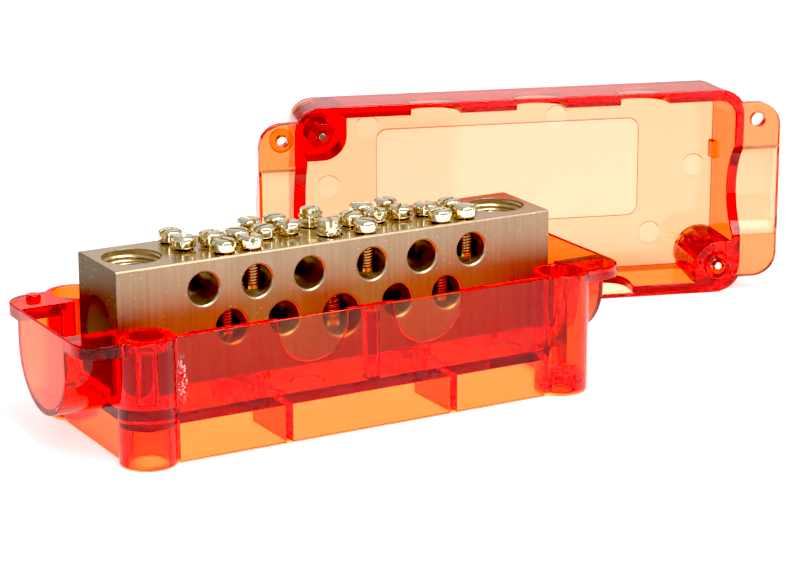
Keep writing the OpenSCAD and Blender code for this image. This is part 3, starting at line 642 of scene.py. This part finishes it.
mesh = bpy.data.meshes.new("floor")
bm = bmesh.new()
bmesh.ops.create_grid(bm, x_segments=1, y_segments=1, size=4.0)
bm.to_mesh(mesh)
bm.free()
mesh.materials.append(table)
floor = bpy.data.objects.new("floor", mesh)
bpy.context.scene.collection.objects.link(floor)
print("floor is", floor.dimensions.x, "m wide")

# %% [markdown]
# ## Light
# A polished screw head shows the whole room, so the room matters as much as the lamps. Six pale
# panels stand round the table with darker gaps between them, which give the heads their bands. The
# room behind the camera is dimmer and keeps the brass from looking white. A wide softbox hangs
# overhead, and two upright ones draw thin highlights.

# %% Room round the table
TOWARDS_CAMERA = (-0.47, -0.84, 0.0)
PANELS, PANEL_BEARING = 6, math.radians(60.8)
world = bpy.data.worlds.new("studio")
world.use_nodes = True
room = world.node_tree
room.nodes.clear()
way = add(room, "ShaderNodeTexCoord").outputs["Generated"]
axes = add(room, "ShaderNodeSeparateXYZ", {"Vector": way})
forward = add(room, "ShaderNodeVectorMath", {0: way, 1: TOWARDS_CAMERA}, operation="DOT_PRODUCT")
walls = add(room, "ShaderNodeMapRange",
            {"Value": forward.outputs["Value"], "From Min": -0.2, "From Max": 0.6,
             "To Min": 0.8, "To Max": 0.55})
bearing = add(room, "ShaderNodeMath",
              {0: axes.outputs["Y"], 1: axes.outputs["X"]}, operation="ARCTAN2")
swing = add(room, "ShaderNodeMath",
            {0: bearing.outputs["Value"], 1: PANELS, 2: -PANELS * PANEL_BEARING},
            operation="MULTIPLY_ADD")
wave = add(room, "ShaderNodeMath", {0: swing.outputs["Value"]}, operation="COSINE")
panels = add(room, "ShaderNodeMapRange",
             {"Value": wave.outputs["Value"], "From Min": -0.5, "From Max": 0.1,
              "To Min": 0.4, "To Max": 1.0})
stood = add(room, "ShaderNodeMath",
            {0: walls.outputs["Result"], 1: panels.outputs["Result"]}, operation="MULTIPLY")
# Higher up, the panels give way to an even ceiling
upward = add(room, "ShaderNodeMapRange",
             {"Value": axes.outputs["Z"], "From Min": 0.3, "From Max": 0.8})
glow = add(room, "ShaderNodeMix",
           {"Factor": upward.outputs["Result"], "A": stood.outputs["Value"], "B": 0.55})
sky = add(room, "ShaderNodeBackground",
          {"Color": linear("#F6F6F8"), "Strength": glow.outputs["Result"]})
add(room, "ShaderNodeOutputWorld", {"Surface": sky.outputs["Background"]})
bpy.context.scene.world = world
print("room has", PANELS, "pale panels")

# %% Softboxes
def softbox(name, place, aim, size, power):
    data = bpy.data.lights.new(name, "AREA")
    data.shape = "RECTANGLE"
    data.size, data.size_y = size
    data.energy = power
    lamp = bpy.data.objects.new(name, data)
    bpy.context.scene.collection.objects.link(lamp)
    lamp.location = place
    lamp.rotation_euler = (Vector(aim) - Vector(place)).to_track_quat("-Z", "Y").to_euler()


softbox("softbox overhead", (0.15, -0.5, 0.95), (0.04, 0.02, 0.0), (0.8, 0.6), 8.0)
softbox("softbox left", (-0.7, -0.9, 0.6), (0.0, 0.0, 0.03), (0.14, 0.8), 1.8)
softbox("softbox right", (0.9, -0.5, 0.6), (0.05, 0.0, 0.03), (0.14, 0.8), 1.8)

# %% Picture settings
BLACK, BOUNCES = 0.055, 48
grade = bpy.context.scene.view_settings
grade.view_transform = "Standard"
# The picture's blacks were pulled down, which takes the veil off the clear red walls
grade.use_curve_mapping = True
grade.curve_mapping.black_level = (BLACK, BLACK, BLACK)
grade.curve_mapping.update()
# Light that crosses many clear walls needs more steps than usual
paths = bpy.context.scene.cycles
paths.max_bounces = paths.transmission_bounces = paths.glossy_bounces = BOUNCES
print("black level", BLACK, "and", BOUNCES, "bounces")
